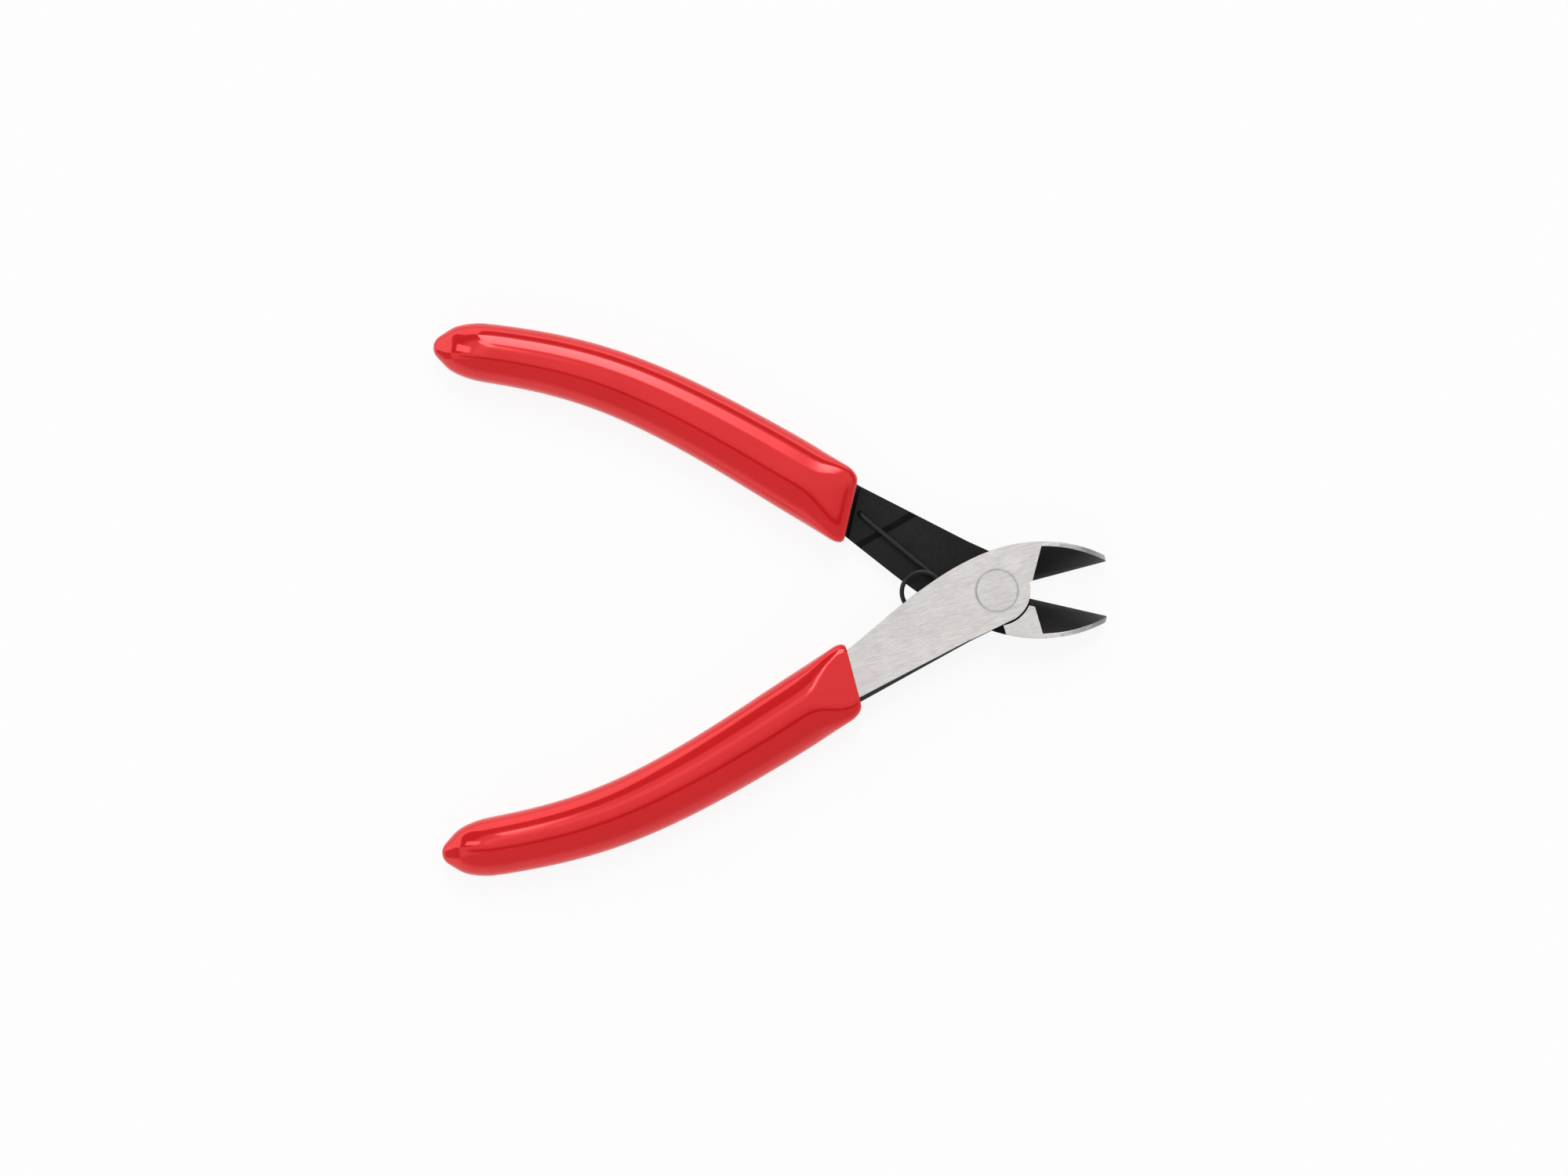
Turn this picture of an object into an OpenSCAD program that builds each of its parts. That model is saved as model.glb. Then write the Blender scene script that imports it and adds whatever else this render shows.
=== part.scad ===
// Flush-cutting side cutters with a lap joint, a wire torsion spring and dipped handle grips.
// Row frame: Z is the pivot axis with zero on the rear ground face, X points to the jaw tips
// along the line that halves the opening, and Y goes across. The tool stands open, as it rests.
// Each lever is drawn closed, with its cutting edge along X, and is then swung open.
// In a lever's own frame zero height is the plane where the two levers lap.

/* [Joint] */
// Thickness of one lever where the two lap, half of the head's thickness
half_t = 3.2; // [2.8:0.1:3.8]
// Radius of the round boss about the pivot
boss_r = 6.05; // [5.4:0.05:6.4]
// Gap between a boss and the round recess that it turns in
recess_gap = 0.35; // [0.3:0.01:0.6]
// Running gap between the two lapped faces
lap_gap = 0.04; // [0.02:0.01:0.08]
// Angle that each lever stands open at rest, from the closed position
open_half = 13.8; // [11:0.2:15]
// Gap at the open stop, between a jaw's end and the edge of the other shank
stop_gap = 0.1; // [0.08:0.01:0.25]
// Lean of a jaw's end past the square to that edge
stop_lean = 8; // [0:1:12]

/* [Rivet] */
// Radius of the rivet's shank
rivet_r = 2.6; // [2.2:0.05:3]
// Radius of the rivet's flush heads
rivet_head_r = 3.8; // [3.4:0.05:4.2]
// Depth of the tapered rivet heads
rivet_head_t = 1.2; // [0.8:0.05:1.6]
// Running gap all round the rivet
rivet_clear = 0.04; // [0.02:0.01:0.08]

/* [Jaws] */
// Distance from the pivot to the tip of the jaws
jaw_len = 20.6; // [18:0.1:23]
// Distance from the cutting edge to the highest point of a jaw's back
jaw_h = 7.4; // [7:0.05:8]
// Height of the blunt face at the tip of a jaw
tip_h = 1.2; // [1:0.05:1.6]
// Distance from the pivot plane to the crest of that arc
jaw_crest = 3.4; // [2.8:0.1:4]
// Width of the ground strip between the bevel and the jaw's back
land_w = 0.8; // [0.5:0.05:1]
// Height of the flat below the cutting edge
edge_t = 0.3; // [0.2:0.05:0.5]
// Gap between the two cutting edges when the jaws are shut
edge_gap = 0.05; // [0.03:0.01:0.1]
// Distance from the recess to the heel of the cutting edge
heel_lead = 0.2; // [0.1:0.02:0.4]
// Lean of the wall that ends the bevel at the heel
wall_angle = 60.8; // [56:0.2:66]
// Height of the step at the heel of the rear jaw's bevel
heel_step = 1.3; // [1:0.05:1.6]
// Distance from the tip at which a jaw starts to thin
roll_len = 8.2; // [6:0.1:9]
// Fall of the jaw's front face at the tip
tip_drop = 3; // [2:0.1:3.6]
// Further fall across the ground strip at the tip
side_roll = 0.9; // [0.4:0.05:1.2]

/* [Shanks] */
// Distance from the pivot plane to the mouth of a grip
shank_len = 29; // [27:0.1:32]
// Distance of the shank's outer edge from the axis at the grip
shank_outer = 13.2; // [12.6:0.1:13.8]
// Distance from the pivot to the line of the shank's outer edge
waist_r = 5.65; // [5.4:0.05:6]
// Distance from the pivot plane to where that edge turns towards the boss
waist_at = 7; // [3:0.1:9]
// Distance of the shank's inner edge from the axis at the grip
shank_inner = 3.6; // [3.4:0.1:4.4]
// Slope of the shank's inner edge near the grip
shank_rise = 25.45; // [24:0.05:26.5]
// Length of the straight part of the inner edge
shank_straight = 10; // [8:0.1:12]
// Radius of the full-thickness land round the pivot
hub_r = 7.2; // [6.9:0.05:7.6]
// Depth of the pocket that clears the coil of the spring
pocket_depth = 1.85; // [1.7:0.05:2.1]
// Distance from the pivot to the end of that pocket, outside the round land
pocket_end = 2.8; // [2.4:0.1:3.4]
// Depth of the raised land that carries the spring's hole
land_depth = 1.4; // [1.35:0.01:1.5]
// Distance from the grip to the slanted step, along the outer edge
crease_at = 10.9; // [10:0.1:12]
// Slant of that step
crease_angle = 42.6; // [38:0.2:46]
// Width of the slope of that step
crease_w = 0.8; // [0.5:0.05:1.2]
// Width of the slope that rises to the tang at the grip
ramp_w = 0.9; // [0.6:0.05:1.2]
// Distance from the foot of that slope to the mouth of the grip
ramp_lead = 0.8; // [0.5:0.05:1]
// Width of the bevel on the shank's outer edge at the grip
bevel_wide = 0.85; // [0.6:0.05:1]
// Width of that bevel beside the pivot
bevel_narrow = 0.1; // [0.05:0.05:0.3]
// Slope of that bevel's face
bevel_angle = 62; // [55:1:68]

/* [Spring] */
// Diameter of the spring wire
wire_d = 0.85; // [0.75:0.01:0.88]
// Radius of the coil, to the middle of the wire
coil_r = 3.7; // [3.5:0.05:4]
// Distance from the pivot to the middle of the coil at rest
coil_at = 13.45; // [12.95:0.05:13.95]
// Gap between a leg of the spring and the land that it lies over
wire_clear = 0.1; // [0.06:0.01:0.14]
// Distance from the mouth of the grip to the spring's hole
hole_in = 1.8; // [1.6:0.05:2.2]
// Distance of the spring's hole from the middle of the shank, towards the inner edge
hole_off = 0.3; // [0:0.05:0.8]
// Gap between the wire and the wall of its hole
hole_clear = 0.12; // [0.1:0.01:0.2]
// Depth of the spring's blind hole
hole_depth = 1.2; // [1:0.05:1.3]
// Radius of the bend from a leg into its hole
bend_r = 0.7; // [0.6:0.02:0.72]

/* [Tangs and grips] */
// Distance from the pivot plane to the end of a grip
grip_reach = 109.4; // [100:0.5:118]
// Distance of the grip's end from the axis
grip_end_y = 20.6; // [19:0.1:23]
// Slope of the handle where it leaves the shank
lead_angle = 19; // [17:0.5:21]
// Length over which the handle keeps near that slope
lead_len = 47; // [42:0.5:52]
// Slope of the handle at its end
tail_angle = 6; // [3:0.5:9]
// Length over which the handle keeps near its end slope
tail_len = 28; // [24:0.5:32]
// Half of the grip's width at its end
grip_end_half = 5.2; // [4.9:0.05:5.8]
// Thickness of the tang inside the grip
tang_t = 5.2; // [4.8:0.1:5.6]
// Thickness of the dipped skin over the tang's edges
skin_edge = 2.2; // [1.9:0.05:2.4]
// Thickness of the dipped skin over the tang's faces
skin_face = 1.9; // [1.6:0.05:2.2]
// Gap between the tang and its grip
skin_clear = 0.04; // [0.02:0.01:0.08]
// Length of the tapered tip beyond the tang
tip_solid = 7; // [5:0.5:10]
// Length of the rounded end of a grip
round_len = 10; // [8:0.5:12]
// Length over which the skin swells up from the ground face
swell_len = 7; // [5:0.5:9]
// Height of the skin above the ground face at its mouth
lip_h = 0.15; // [0.1:0.05:0.4]
// Radius of the puffed lip on the other face
lip_r = 1.6; // [1.2:0.1:2]

/* [Hidden] */

// Overrun of every cut past the face that it leaves
over = 1;
// Smallest film that keeps two surfaces from meeting at a knife edge
film = 0.02;
// Round features and the steps along curves
round_fn = 96;
back_steps = 20;
blend_steps = 12;
bevel_steps = 32;
bevel_across = 4;
tang_steps = 26;

// Joint and shank, in a lever's own frame
recess_r = boss_r + recess_gap;
lap_z = lap_gap / 2;
edge_y = edge_gap / 2;
shank_mid = (shank_outer + shank_inner) / 2;
shank_half = (shank_outer - shank_inner) / 2;
shank_corner = norm([shank_len, shank_outer]);
outer_slope = atan2(shank_outer, shank_len) - asin(waist_r / shank_corner);
waist = [-waist_at, -shank_outer + (shank_len - waist_at) * tan(outer_slope)];
outer_normal = 90 - atan2(-waist.y, -waist.x) + asin(boss_r / norm(waist));
stop_normal = outer_normal - 2 * open_half;
stop_angle = stop_normal + acos((boss_r + stop_gap) / recess_r);

// Jaw, in a lever's own frame: its back is one arc from the crest to the blunt tip
jaw_run = jaw_len - jaw_crest;
jaw_fall = jaw_h - edge_y - tip_h;
jaw_back_r = (jaw_run * jaw_run + jaw_fall * jaw_fall) / (2 * jaw_fall);
back_centre = [jaw_crest, jaw_h - jaw_back_r];
land_r = jaw_back_r - land_w;
heel_x = recess_r + heel_lead;
edge_z = edge_t - half_t;

// Spring: the hole in a lever's own frame, then at rest in the row frame
hole_x = -(shank_len - hole_in);
hole_y = -(shank_mid - hole_off);
hole_rest = turned([hole_x, hole_y], open_half);
leg_z = land_depth - wire_d / 2 - wire_clear;
leg_run = hole_rest - [-coil_at, 0];
leg_angle = atan2(-leg_run.y, -leg_run.x) - asin(coil_r / norm(leg_run));
leg_len = sqrt(pow(norm(leg_run), 2) - pow(coil_r, 2));
coil_turn = 540 - 2 * leg_angle;
wire_end = land_depth + hole_depth - wire_clear;
tube_sides = 6;
rings_a_turn = 24;
leg_rings = 4;
bend_rings = 5;
fine_rings = 120;

// Grip: its middle line runs from the mouth to the tip
grip_a = [-shank_len, -shank_mid];
grip_d = [-grip_reach, -grip_end_y];
grip_b = grip_a - lead_len * [cos(lead_angle), sin(lead_angle)];
grip_c = grip_d + tail_len * [cos(tail_angle), -sin(tail_angle)];
grip_mouth_half = shank_half + skin_edge;
grip_mouth_t = tang_t / 2 + skin_face;
grip_sides = 28;
grip_body_rings = 15;
grip_tip_rings = 9;
lip_in = 0.25;
// Shares along the middle line and of the grip's sizes
mouth_shares = [0, 0.005, 0.012, 0.022, 0.04, 0.065, 0.095, 0.13];
square_share = 0.16;
body_end_share = 0.86;
taper_share = 0.6;
thin_share = 0.92;
squareness_share = 0.8;
neck_share = 0.18;
neck_at_share = 0.12;
neck_wide_share = 0.15;
end_share = 0.0006;

function turned(p, a) = [p.x * cos(a) - p.y * sin(a), p.x * sin(a) + p.y * cos(a)];
function on_arc(c, r, a) = c + r * [cos(a), sin(a)];
function blend(a, b, t) = a + (b - a) * t;
function clamp01(t) = min(max(t, 0), 1);
function eased(t) = clamp01(t) * clamp01(t) * (3 - 2 * clamp01(t));
function signed_power(v, p) = sign(v) * pow(abs(v), p);

// A closed skin over rings of points, each ring counter-clockwise about the way along
module skin(rings) {
    m = len(rings[0]);
    n = len(rings);
    points = [for (ring = rings) each ring];
    sides = [for (i = [0 : n - 2], j = [0 : m - 1], k = [0, 1])
        let (a = i * m + j, b = i * m + (j + 1) % m)
        k == 0 ? [a, b + m, b] : [a, a + m, b + m]];
    first = [for (j = [1 : m - 2]) [0, j, j + 1]];
    last = [for (j = [1 : m - 2]) [(n - 1) * m, (n - 1) * m + j + 1, (n - 1) * m + j]];
    polyhedron(points, concat(sides, first, last));
}

// Outline of the shank and jaw of one lever, closed, with the boss left out
function shank_bend() =
    let (
        a = [-shank_len, -shank_inner] + shank_straight * [1, tan(shank_rise)],
        c = [jaw_crest, jaw_h],
        b = [a.x + (c.y - a.y) / tan(shank_rise), c.y]
    )
    [for (i = [0 : blend_steps]) let (t = i / blend_steps)
        blend(blend(a, b, t), blend(b, c, t), t)];

function jaw_back() =
    let (end = acos((jaw_len - back_centre.x) / jaw_back_r))
    [for (i = [1 : back_steps])
        on_arc(back_centre, jaw_back_r, blend(90, end, i / back_steps))];

function lever_outline() = concat(
    [[-shank_len, -shank_outer], [-shank_len, -shank_inner]],
    shank_bend(),
    jaw_back(),
    [[jaw_len, edge_y], [0, edge_y], on_arc([0, 0], boss_r, -outer_normal), waist]
);

module lever_shape() {
    polygon(lever_outline());
    circle(boss_r, $fn = round_fn);
}

// The jaw is full thickness outside the other lever's recess and beyond the open stop
module jaw_block_shape() {
    corner = on_arc([0, 0], recess_r, stop_angle);
    far = on_arc(corner, jaw_len, stop_normal + stop_lean);
    difference() {
        intersection() {
            polygon(lever_outline());
            polygon([[0, edge_y], [2 * jaw_len, edge_y], [2 * jaw_len, far.y], far, corner]);
        }
        circle(recess_r, $fn = round_fn);
    }
}

// Middle line of a handle, with t from zero at the mouth to one at the tip
function handle_mid(t) =
    let (u = 1 - t)
    u * u * u * grip_a + 3 * u * u * t * grip_b + 3 * u * t * t * grip_c + t * t * t * grip_d;

function handle_way(t) =
    let (
        u = 1 - t,
        v = u * u * (grip_b - grip_a) + 2 * u * t * (grip_c - grip_b) + t * t * (grip_d - grip_c)
    )
    v / norm(v);

// Sections stand across the axis at the mouth and square to the middle line further on
function handle_across(t) =
    let (w = handle_way(t), v = blend([0, 1], [w.y, -w.x], eased(t / square_share)))
    v / norm(v);

function grip_half(t) = blend(grip_mouth_half, grip_end_half, pow(t, taper_share));

function tang_half(t, t_end, grow) =
    let (left = norm(handle_mid(t_end) - handle_mid(t)), r = grip_half(t) - skin_edge)
    (left < r ? sqrt(max(0, r * r - pow(r - left, 2))) : r) + grow;

// The tang follows the handle inside the grip; a grown one hollows the grip
function tang_outline(grow) =
    let (
        t_end = 1 - tip_solid / (3 * tail_len),
        ts = [for (i = [0 : tang_steps]) t_end * sin(90 * i / tang_steps)],
        inner = [for (t = ts) handle_mid(t) + tang_half(t, t_end, grow) * handle_across(t)],
        outer = [for (t = ts) handle_mid(t) - tang_half(t, t_end, grow) * handle_across(t)],
        n = len(ts)
    )
    concat(
        [inner[0] + over * [1, tan(shank_rise)]], inner,
        [for (i = [n - 1 : -1 : 0]) outer[i]], [outer[0] + over * [1, tan(outer_slope)]]
    );

module tang(grow) {
    tall = tang_t + 2 * grow;
    translate([0, 0, -tall / 2]) linear_extrude(tall) polygon(tang_outline(grow));
}

// Front height of the jaw at an angle and radius about the centre of its back: level up to the
// start of the roll, and then falling ever faster towards the tip and the back
function roll_at(a) =
    let (
        start = acos((jaw_len - roll_len - back_centre.x) / jaw_back_r),
        end = acos((jaw_len - back_centre.x) / jaw_back_r)
    )
    (start - a) / (start - end);
function front_z(a, r) =
    let (v = max(0, roll_at(a)))
    half_t - tip_drop * v * v - side_roll * v * v * (r - land_r) / land_w;

// Foot of the bevel's straight wall on the inner border of the ground strip
function wall_top() =
    let (wall = [cos(wall_angle), sin(wall_angle)], p = [heel_x, edge_y] - back_centre)
    p + (sqrt(pow(p * wall, 2) - p * p + land_r * land_r) - p * wall) * wall;

// The jaw's front: a bevel ruled from the cutting edge up to the ground strip, and the strip
// itself, which rolls off towards the tip and the back of the jaw
module front_cut() {
    from = atan2(wall_top().y, wall_top().x);
    to = acos((jaw_len - back_centre.x) / land_r);
    outer = jaw_back_r + land_w / 2;
    rings = [for (i = [0 : bevel_steps])
        let (
            s = i / bevel_steps,
            a = blend(from, to, s),
            low = [blend(heel_x, jaw_len, s), edge_y, edge_z],
            land = on_arc(back_centre, land_r, a),
            high = [land.x, max(land.y, edge_y + edge_t / 2), front_z(a, land_r) + film],
            root = low - (high - low) * edge_t / (high.z - edge_z),
            run = [high.x - low.x, high.y - low.y, 0],
            back = over * run / norm(run)
        )
        [
            [root.x, root.y, half_t + over] - back,
            root - back,
            each [for (k = [0 : bevel_across]) blend(root, high, k / bevel_across)],
            [each on_arc(back_centre, outer, a), front_z(a, outer) + film],
            [each on_arc(back_centre, outer, a), half_t + over]
        ]];
    past = [for (p = rings[bevel_steps]) p + [over, 0, 0]];
    skin(concat(rings, [past]));
}

// The rear jaw's bevel runs on below a small step to the recess
module heel_cut() {
    rise = (half_t - edge_z) / (wall_top().y + back_centre.y - edge_y);
    difference() {
        rotate([90, 0, 90])
            linear_extrude(heel_x + heel_step / tan(wall_angle))
                polygon([
                    [edge_y - over, edge_z - over * rise + film],
                    [edge_y + heel_step, edge_z + heel_step * rise + film],
                    [edge_y + heel_step, half_t + over],
                    [edge_y - over, half_t + over]
                ]);
        translate([0, 0, -2 * half_t]) cylinder(4 * half_t, r = recess_r, $fn = round_fn);
    }
}

// Relief of the shank's inner side: a pocket, a slanted step and a land, up to a slope at the grip
module relief() {
    far = 2 * shank_len;
    foot = -(shank_len - ramp_lead);
    low = -(tang_t / 2 + over);
    fall = (tang_t / 2 + land_depth) / ramp_w;
    step_from = [
        -(shank_len - crease_at),
        -shank_outer + crease_at * tan(outer_slope)
    ];
    difference() {
        intersection() {
            translate([foot, shank_outer + over, 0])
                rotate([90, 0, 0])
                    linear_extrude(2 * (shank_outer + over))
                        polygon([
                            [(low - land_depth) / fall, low], [over / fall, land_depth + over],
                            [-pocket_end - foot, land_depth + over], [-pocket_end - foot, low]
                        ]);
            translate([step_from.x, step_from.y, 0])
                rotate([0, 0, 90 - crease_angle])
                    translate([0, far, 0])
                        rotate([90, 0, 0])
                            linear_extrude(2 * far)
                                polygon([
                                    [-far, low - over], [far, low - over],
                                    [far, pocket_depth], [crease_w, pocket_depth],
                                    [0, land_depth], [-far, land_depth]
                                ]);
        }
        translate([0, 0, low - over])
            cylinder(half_t + over - low, r = hub_r, $fn = round_fn);
    }
}

// The bevel along the shank's outer edge narrows towards the pivot and ends where the edge turns
module edge_bevel() {
    skew = atan((bevel_wide - bevel_narrow) / shank_len);
    lead = bevel_wide * tan(outer_slope);
    at = [-shank_len, -shank_outer + bevel_wide / cos(outer_slope)];
    translate([at.x, at.y, half_t])
        rotate([0, 0, outer_slope - skew])
            rotate([bevel_angle, 0, 0])
                translate([-lead, -2 * half_t, 0])
                    cube([
                        lead + (shank_len - waist_at) / cos(outer_slope),
                        4 * half_t, 2 * bevel_wide
                    ]);
}

// One lever in its own frame; side is 1 where the jaw's bevel is on the plate's ground face
module lever(side) {
    difference() {
        union() {
            translate([0, 0, lap_z]) linear_extrude(half_t - lap_z) lever_shape();
            translate([0, 0, -half_t]) linear_extrude(half_t + 2 * lap_z) jaw_block_shape();
            tang(0);
        }
        relief();
        if (side > 0) {
            front_cut();
        } else {
            mirror([0, 0, 1]) front_cut();
            mirror([0, 0, 1]) heel_cut();
        }
        edge_bevel();
        translate([0, 0, -over]) cylinder(half_t + 2 * over, r = rivet_r + rivet_clear, $fn = round_fn);
        translate([0, 0, half_t - rivet_head_t])
            cylinder(
                rivet_head_t + film,
                r1 = rivet_r + rivet_clear, r2 = rivet_head_r + rivet_clear, $fn = round_fn
            );
        translate([hole_x, hole_y, land_depth - over])
            cylinder(hole_depth + over, r = wire_d / 2 + hole_clear, $fn = round_fn);
    }
}

// Places a lever or a grip, drawn closed, as the front or the rear one at rest
module as_front() {
    translate([0, 0, half_t]) rotate([0, 0, open_half]) children();
}
module as_rear() {
    translate([0, 0, half_t]) rotate([0, 0, -open_half]) rotate([180, 0, 0]) children();
}

module front_lever() {
    color("gainsboro") as_front() lever(1);
}

module rear_lever() {
    color("dimgray") as_rear() lever(-1);
}

// One headed pin, ground flush, on which the front lever turns
module rivet() {
    color("silver")
        translate([0, 0, half_t])
            rotate_extrude($fn = round_fn)
                polygon([
                    [0, -half_t], [rivet_head_r, -half_t], [rivet_r, rivet_head_t - half_t],
                    [rivet_r, half_t - rivet_head_t], [rivet_head_r, half_t], [0, half_t]
                ]);
}

// Stations of the wire: place, heading and climb, from the rear lever's hole to the front one's
function wire_bend(n) = [for (i = [0 : n]) let (e = 90 * (1 - i / n))
    [bend_r * (1 - sin(e)), -bend_r * (1 - cos(e)), e]];

function wire_path(bend_n, leg_n, coil_n) =
    let (
        way = [cos(leg_angle), -sin(leg_angle)],
        rear = [hole_rest.x, -hole_rest.y],
        leg = [for (i = [1 : leg_n]) let (d = blend(bend_r, leg_len, i / leg_n))
            [each (rear + d * way), -leg_z, -leg_angle, 0]],
        bend = [for (b = wire_bend(bend_n))
            [each (rear + b[0] * way), b[1] - leg_z, -leg_angle, b[2]]],
        start = [rear.x, rear.y, -wire_end, -leg_angle, 90],
        climb = atan(2 * leg_z / (coil_turn * PI / 180 * coil_r)),
        coil = [for (i = [1 : coil_n - 1])
            let (s = i / coil_n, h = -leg_angle - coil_turn * s)
            [each on_arc([-coil_at, 0], coil_r, h + 90), blend(-leg_z, leg_z, s), h, climb]],
        half = concat([start], bend, leg)
    )
    concat(half, coil, [for (i = [len(half) - 1 : -1 : 0]) let (p = half[i])
        [p[0], -p[1], -p[2], -leg_angle - coil_turn, p[4]]]);

function wire_ring(p) =
    let (
        ahead = [cos(p[4]) * cos(p[3]), cos(p[4]) * sin(p[3]), sin(p[4])],
        aside = [-sin(p[3]), cos(p[3]), 0],
        up = cross(ahead, aside)
    )
    [for (k = [0 : tube_sides - 1]) let (a = 360 * k / tube_sides)
        [p[0], p[1], p[2]] + wire_d / 2 * (cos(a) * aside + sin(a) * up)];

// Least gap of the wire to itself, over points that are a quarter turn or more apart along it
function wire_gap() =
    let (
        path = wire_path(1, fine_rings, fine_rings * coil_turn / 360),
        n = len(path),
        skip = floor(fine_rings / 4)
    )
    min([for (i = [0 : n - 1]) let (p = path[i])
        for (j = [i + skip : n - 1])
            norm([p[0] - path[j][0], p[1] - path[j][1], p[2] - path[j][2]])]) - wire_d;

// One unbroken wire: a leg in each lever and a coil of one turn and a quarter between them
module return_spring() {
    path = wire_path(bend_rings, leg_rings, floor(rings_a_turn * coil_turn / 360));
    color("black")
        translate([0, 0, half_t])
            skin([for (p = path) wire_ring(p)]);
}

// Shape of a dipped grip along its middle line
function grip_stations() = concat(
    mouth_shares,
    [for (i = [1 : grip_body_rings])
        blend(mouth_shares[len(mouth_shares) - 1], body_end_share, i / grip_body_rings)],
    [for (i = [1 : grip_tip_rings])
        1 - max(end_share, round_len / (3 * tail_len) * (1 - sin(90 * i / grip_tip_rings)))]
);

function grip_end(t) =
    let (
        left = norm(grip_d - handle_mid(t)) / round_len,
        neck = neck_share * exp(-pow((left - neck_at_share) / neck_wide_share, 2))
    )
    left < 1 ? sqrt(1 - pow(1 - left, 2)) * (1 - neck) : 1;

function grip_ring(t) =
    let (
        mid = handle_mid(t),
        side = handle_across(t),
        from_mouth = norm(mid - grip_a),
        lip = pow(max(0, 1 - from_mouth / lip_r), 2),
        end = grip_end(t),
        thick = grip_mouth_t * blend(1, thin_share, t) * end,
        wide = (grip_half(t) - lip_in * lip) * end,
        swell = eased(from_mouth / swell_len),
        ground = blend(half_t + lip_h, thick, swell),
        puffed = thick - (skin_face - skin_clear) / 2 * lip
    )
    [for (k = [0 : grip_sides - 1])
        let (
            a = 360 * k / grip_sides,
            c = signed_power(cos(a), squareness_share),
            s = signed_power(sin(a), squareness_share)
        )
        [each (mid + wide * c * side), -s * (s < 0 ? ground : puffed)]];

module grip() {
    difference() {
        skin([for (t = grip_stations()) grip_ring(t)]);
        tang(skin_clear);
    }
}

module front_lever_grip() {
    color("crimson") as_front() grip();
}

module rear_lever_grip() {
    color("crimson") as_rear() grip();
}

front_lever();
rear_lever();
rivet();
union() {
    echo(least_wire_gap = wire_gap());
    return_spring();
}
front_lever_grip();
rear_lever_grip();
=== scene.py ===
# %% [markdown]
# # Flush-cutting side cutters
# These are light side cutters for electronics: two black steel levers that lap over each
# other at a rivet, a wire spring that opens them, and two red vinyl grips. The imported CAD
# model gives every size and place, and this script dresses it. So it loads that model first
# and keeps its box.

# %% Load the frame
import math
import bmesh
import bpy
from mathutils import Matrix, Vector


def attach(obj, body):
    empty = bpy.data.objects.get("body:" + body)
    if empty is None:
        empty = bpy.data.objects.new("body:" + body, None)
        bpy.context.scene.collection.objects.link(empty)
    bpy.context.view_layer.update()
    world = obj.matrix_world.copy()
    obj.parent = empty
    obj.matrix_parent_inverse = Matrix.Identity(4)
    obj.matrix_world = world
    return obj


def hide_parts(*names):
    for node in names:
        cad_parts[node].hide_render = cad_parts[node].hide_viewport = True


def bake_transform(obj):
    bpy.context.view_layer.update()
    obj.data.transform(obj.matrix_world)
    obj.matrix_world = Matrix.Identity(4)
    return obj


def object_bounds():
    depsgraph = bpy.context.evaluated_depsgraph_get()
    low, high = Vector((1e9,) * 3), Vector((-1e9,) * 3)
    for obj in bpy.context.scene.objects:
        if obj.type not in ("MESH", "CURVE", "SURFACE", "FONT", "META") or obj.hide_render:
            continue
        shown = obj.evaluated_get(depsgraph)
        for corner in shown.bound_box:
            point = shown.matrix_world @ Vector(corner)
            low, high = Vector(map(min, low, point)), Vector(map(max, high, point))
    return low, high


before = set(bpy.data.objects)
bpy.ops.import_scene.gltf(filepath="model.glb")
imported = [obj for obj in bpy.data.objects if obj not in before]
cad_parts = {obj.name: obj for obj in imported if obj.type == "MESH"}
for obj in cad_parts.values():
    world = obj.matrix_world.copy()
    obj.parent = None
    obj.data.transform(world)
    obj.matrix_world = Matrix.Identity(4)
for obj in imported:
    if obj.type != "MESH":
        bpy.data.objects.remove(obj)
MM = 0.001
cad_box = [list(corner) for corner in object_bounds()]
print("CAD box in mm:", [[round(v / MM, 1) for v in corner] for corner in cad_box])

# %% [markdown]
# ## The camera
# The photograph looks straight down on the open tool, from far enough away that nothing
# leans. A long lens does the same. The tool lies turned by one degree in the picture, so
# the camera is rolled by one degree the other way and the tool stays where the CAD has it.

# %% Camera over the tool
VIEW_WIDTH = 284.4 * MM
VIEW_CENTRE = (-38.5 * MM, 1.15 * MM)
PIVOT_Z = 3.2 * MM
TOOL_TURN = 1.0
LENS = 120
SENSOR = 36

camera_data = bpy.data.cameras.new("camera")
camera_data.lens = LENS
camera_data.sensor_width = SENSOR
camera_data.clip_end = 20
camera = bpy.data.objects.new("camera", camera_data)
camera.location = (*VIEW_CENTRE, PIVOT_Z + VIEW_WIDTH * LENS / SENSOR)
camera.rotation_euler = (0, 0, math.radians(-TOOL_TURN))
bpy.context.collection.objects.link(camera)
bpy.context.scene.camera = camera
bpy.context.scene.view_settings.view_transform = "Standard"
print("camera height: %.2f m" % camera.location.z)

# %% [markdown]
# ## Writing shader maths as sums
# A finish is mostly arithmetic on patterns. Wiring each Math node by hand hides that, so a
# small class wraps a socket: sums and products of wrapped sockets add their nodes. Any other
# node comes from `add`, which takes the node's type, its settings and its inputs. An input
# goes by its name, or by its number, as i0 or i1, where several have the same name.

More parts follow.
